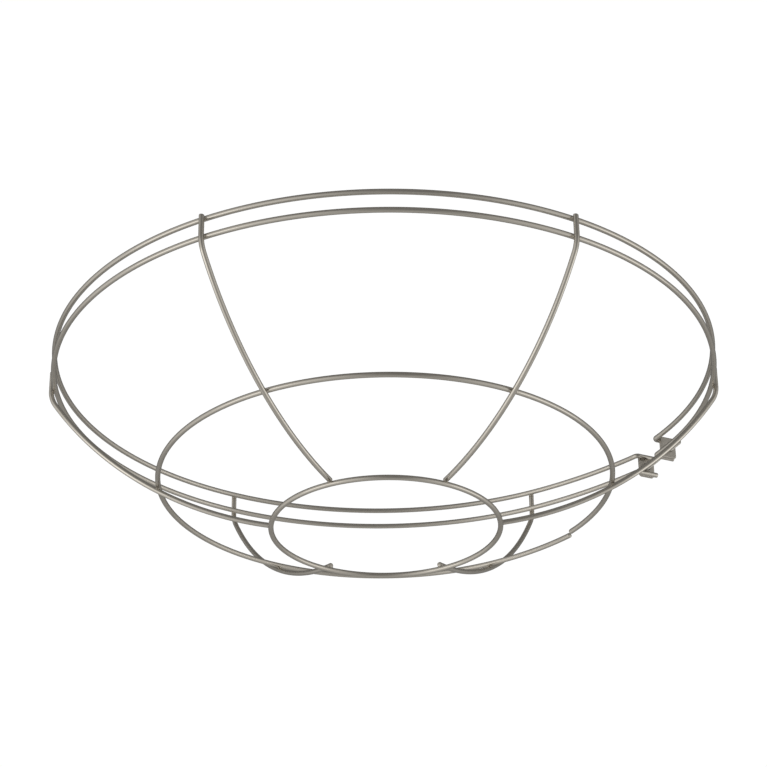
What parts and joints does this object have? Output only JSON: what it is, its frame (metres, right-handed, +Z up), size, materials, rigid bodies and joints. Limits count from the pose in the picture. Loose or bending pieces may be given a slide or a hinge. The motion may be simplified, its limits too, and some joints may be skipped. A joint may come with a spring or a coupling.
{
  "type": "bulb cage guard",
  "caption": "Round open wire basket guard whose split double rim clamps round a lamp shade's lip to protect the bulb.",
  "frame": {"origin": "on the ring axis, at the bottom of the bottom ring", "axes": "+Z up along the ring axis from the bottom ring to the rim; +X half a degree clockwise of the first rib, seen from above, with the clamp 32 degrees anticlockwise from +X"},
  "size_m": [0.4394, 0.4334, 0.1185],
  "materials": {
    "wire": "satin nickel plating on steel wire",
    "plate": "satin nickel plating on stamped steel",
    "screw": "bright zinc plating"
  },
  "bodies": {
    "root": {"bottom_ring": "wire", "middle_ring": "wire", "upper_rim_ring": "wire", "lower_rim_ring": "wire", "rib_one": "wire", "rib_two": "wire", "rib_three": "wire", "rib_four": "wire", "rib_five": "wire", "rib_six": "wire", "plain_plate": "plate", "tapped_plate": "plate", "clamp_screw": "screw"}
  },
  "joints": []
}
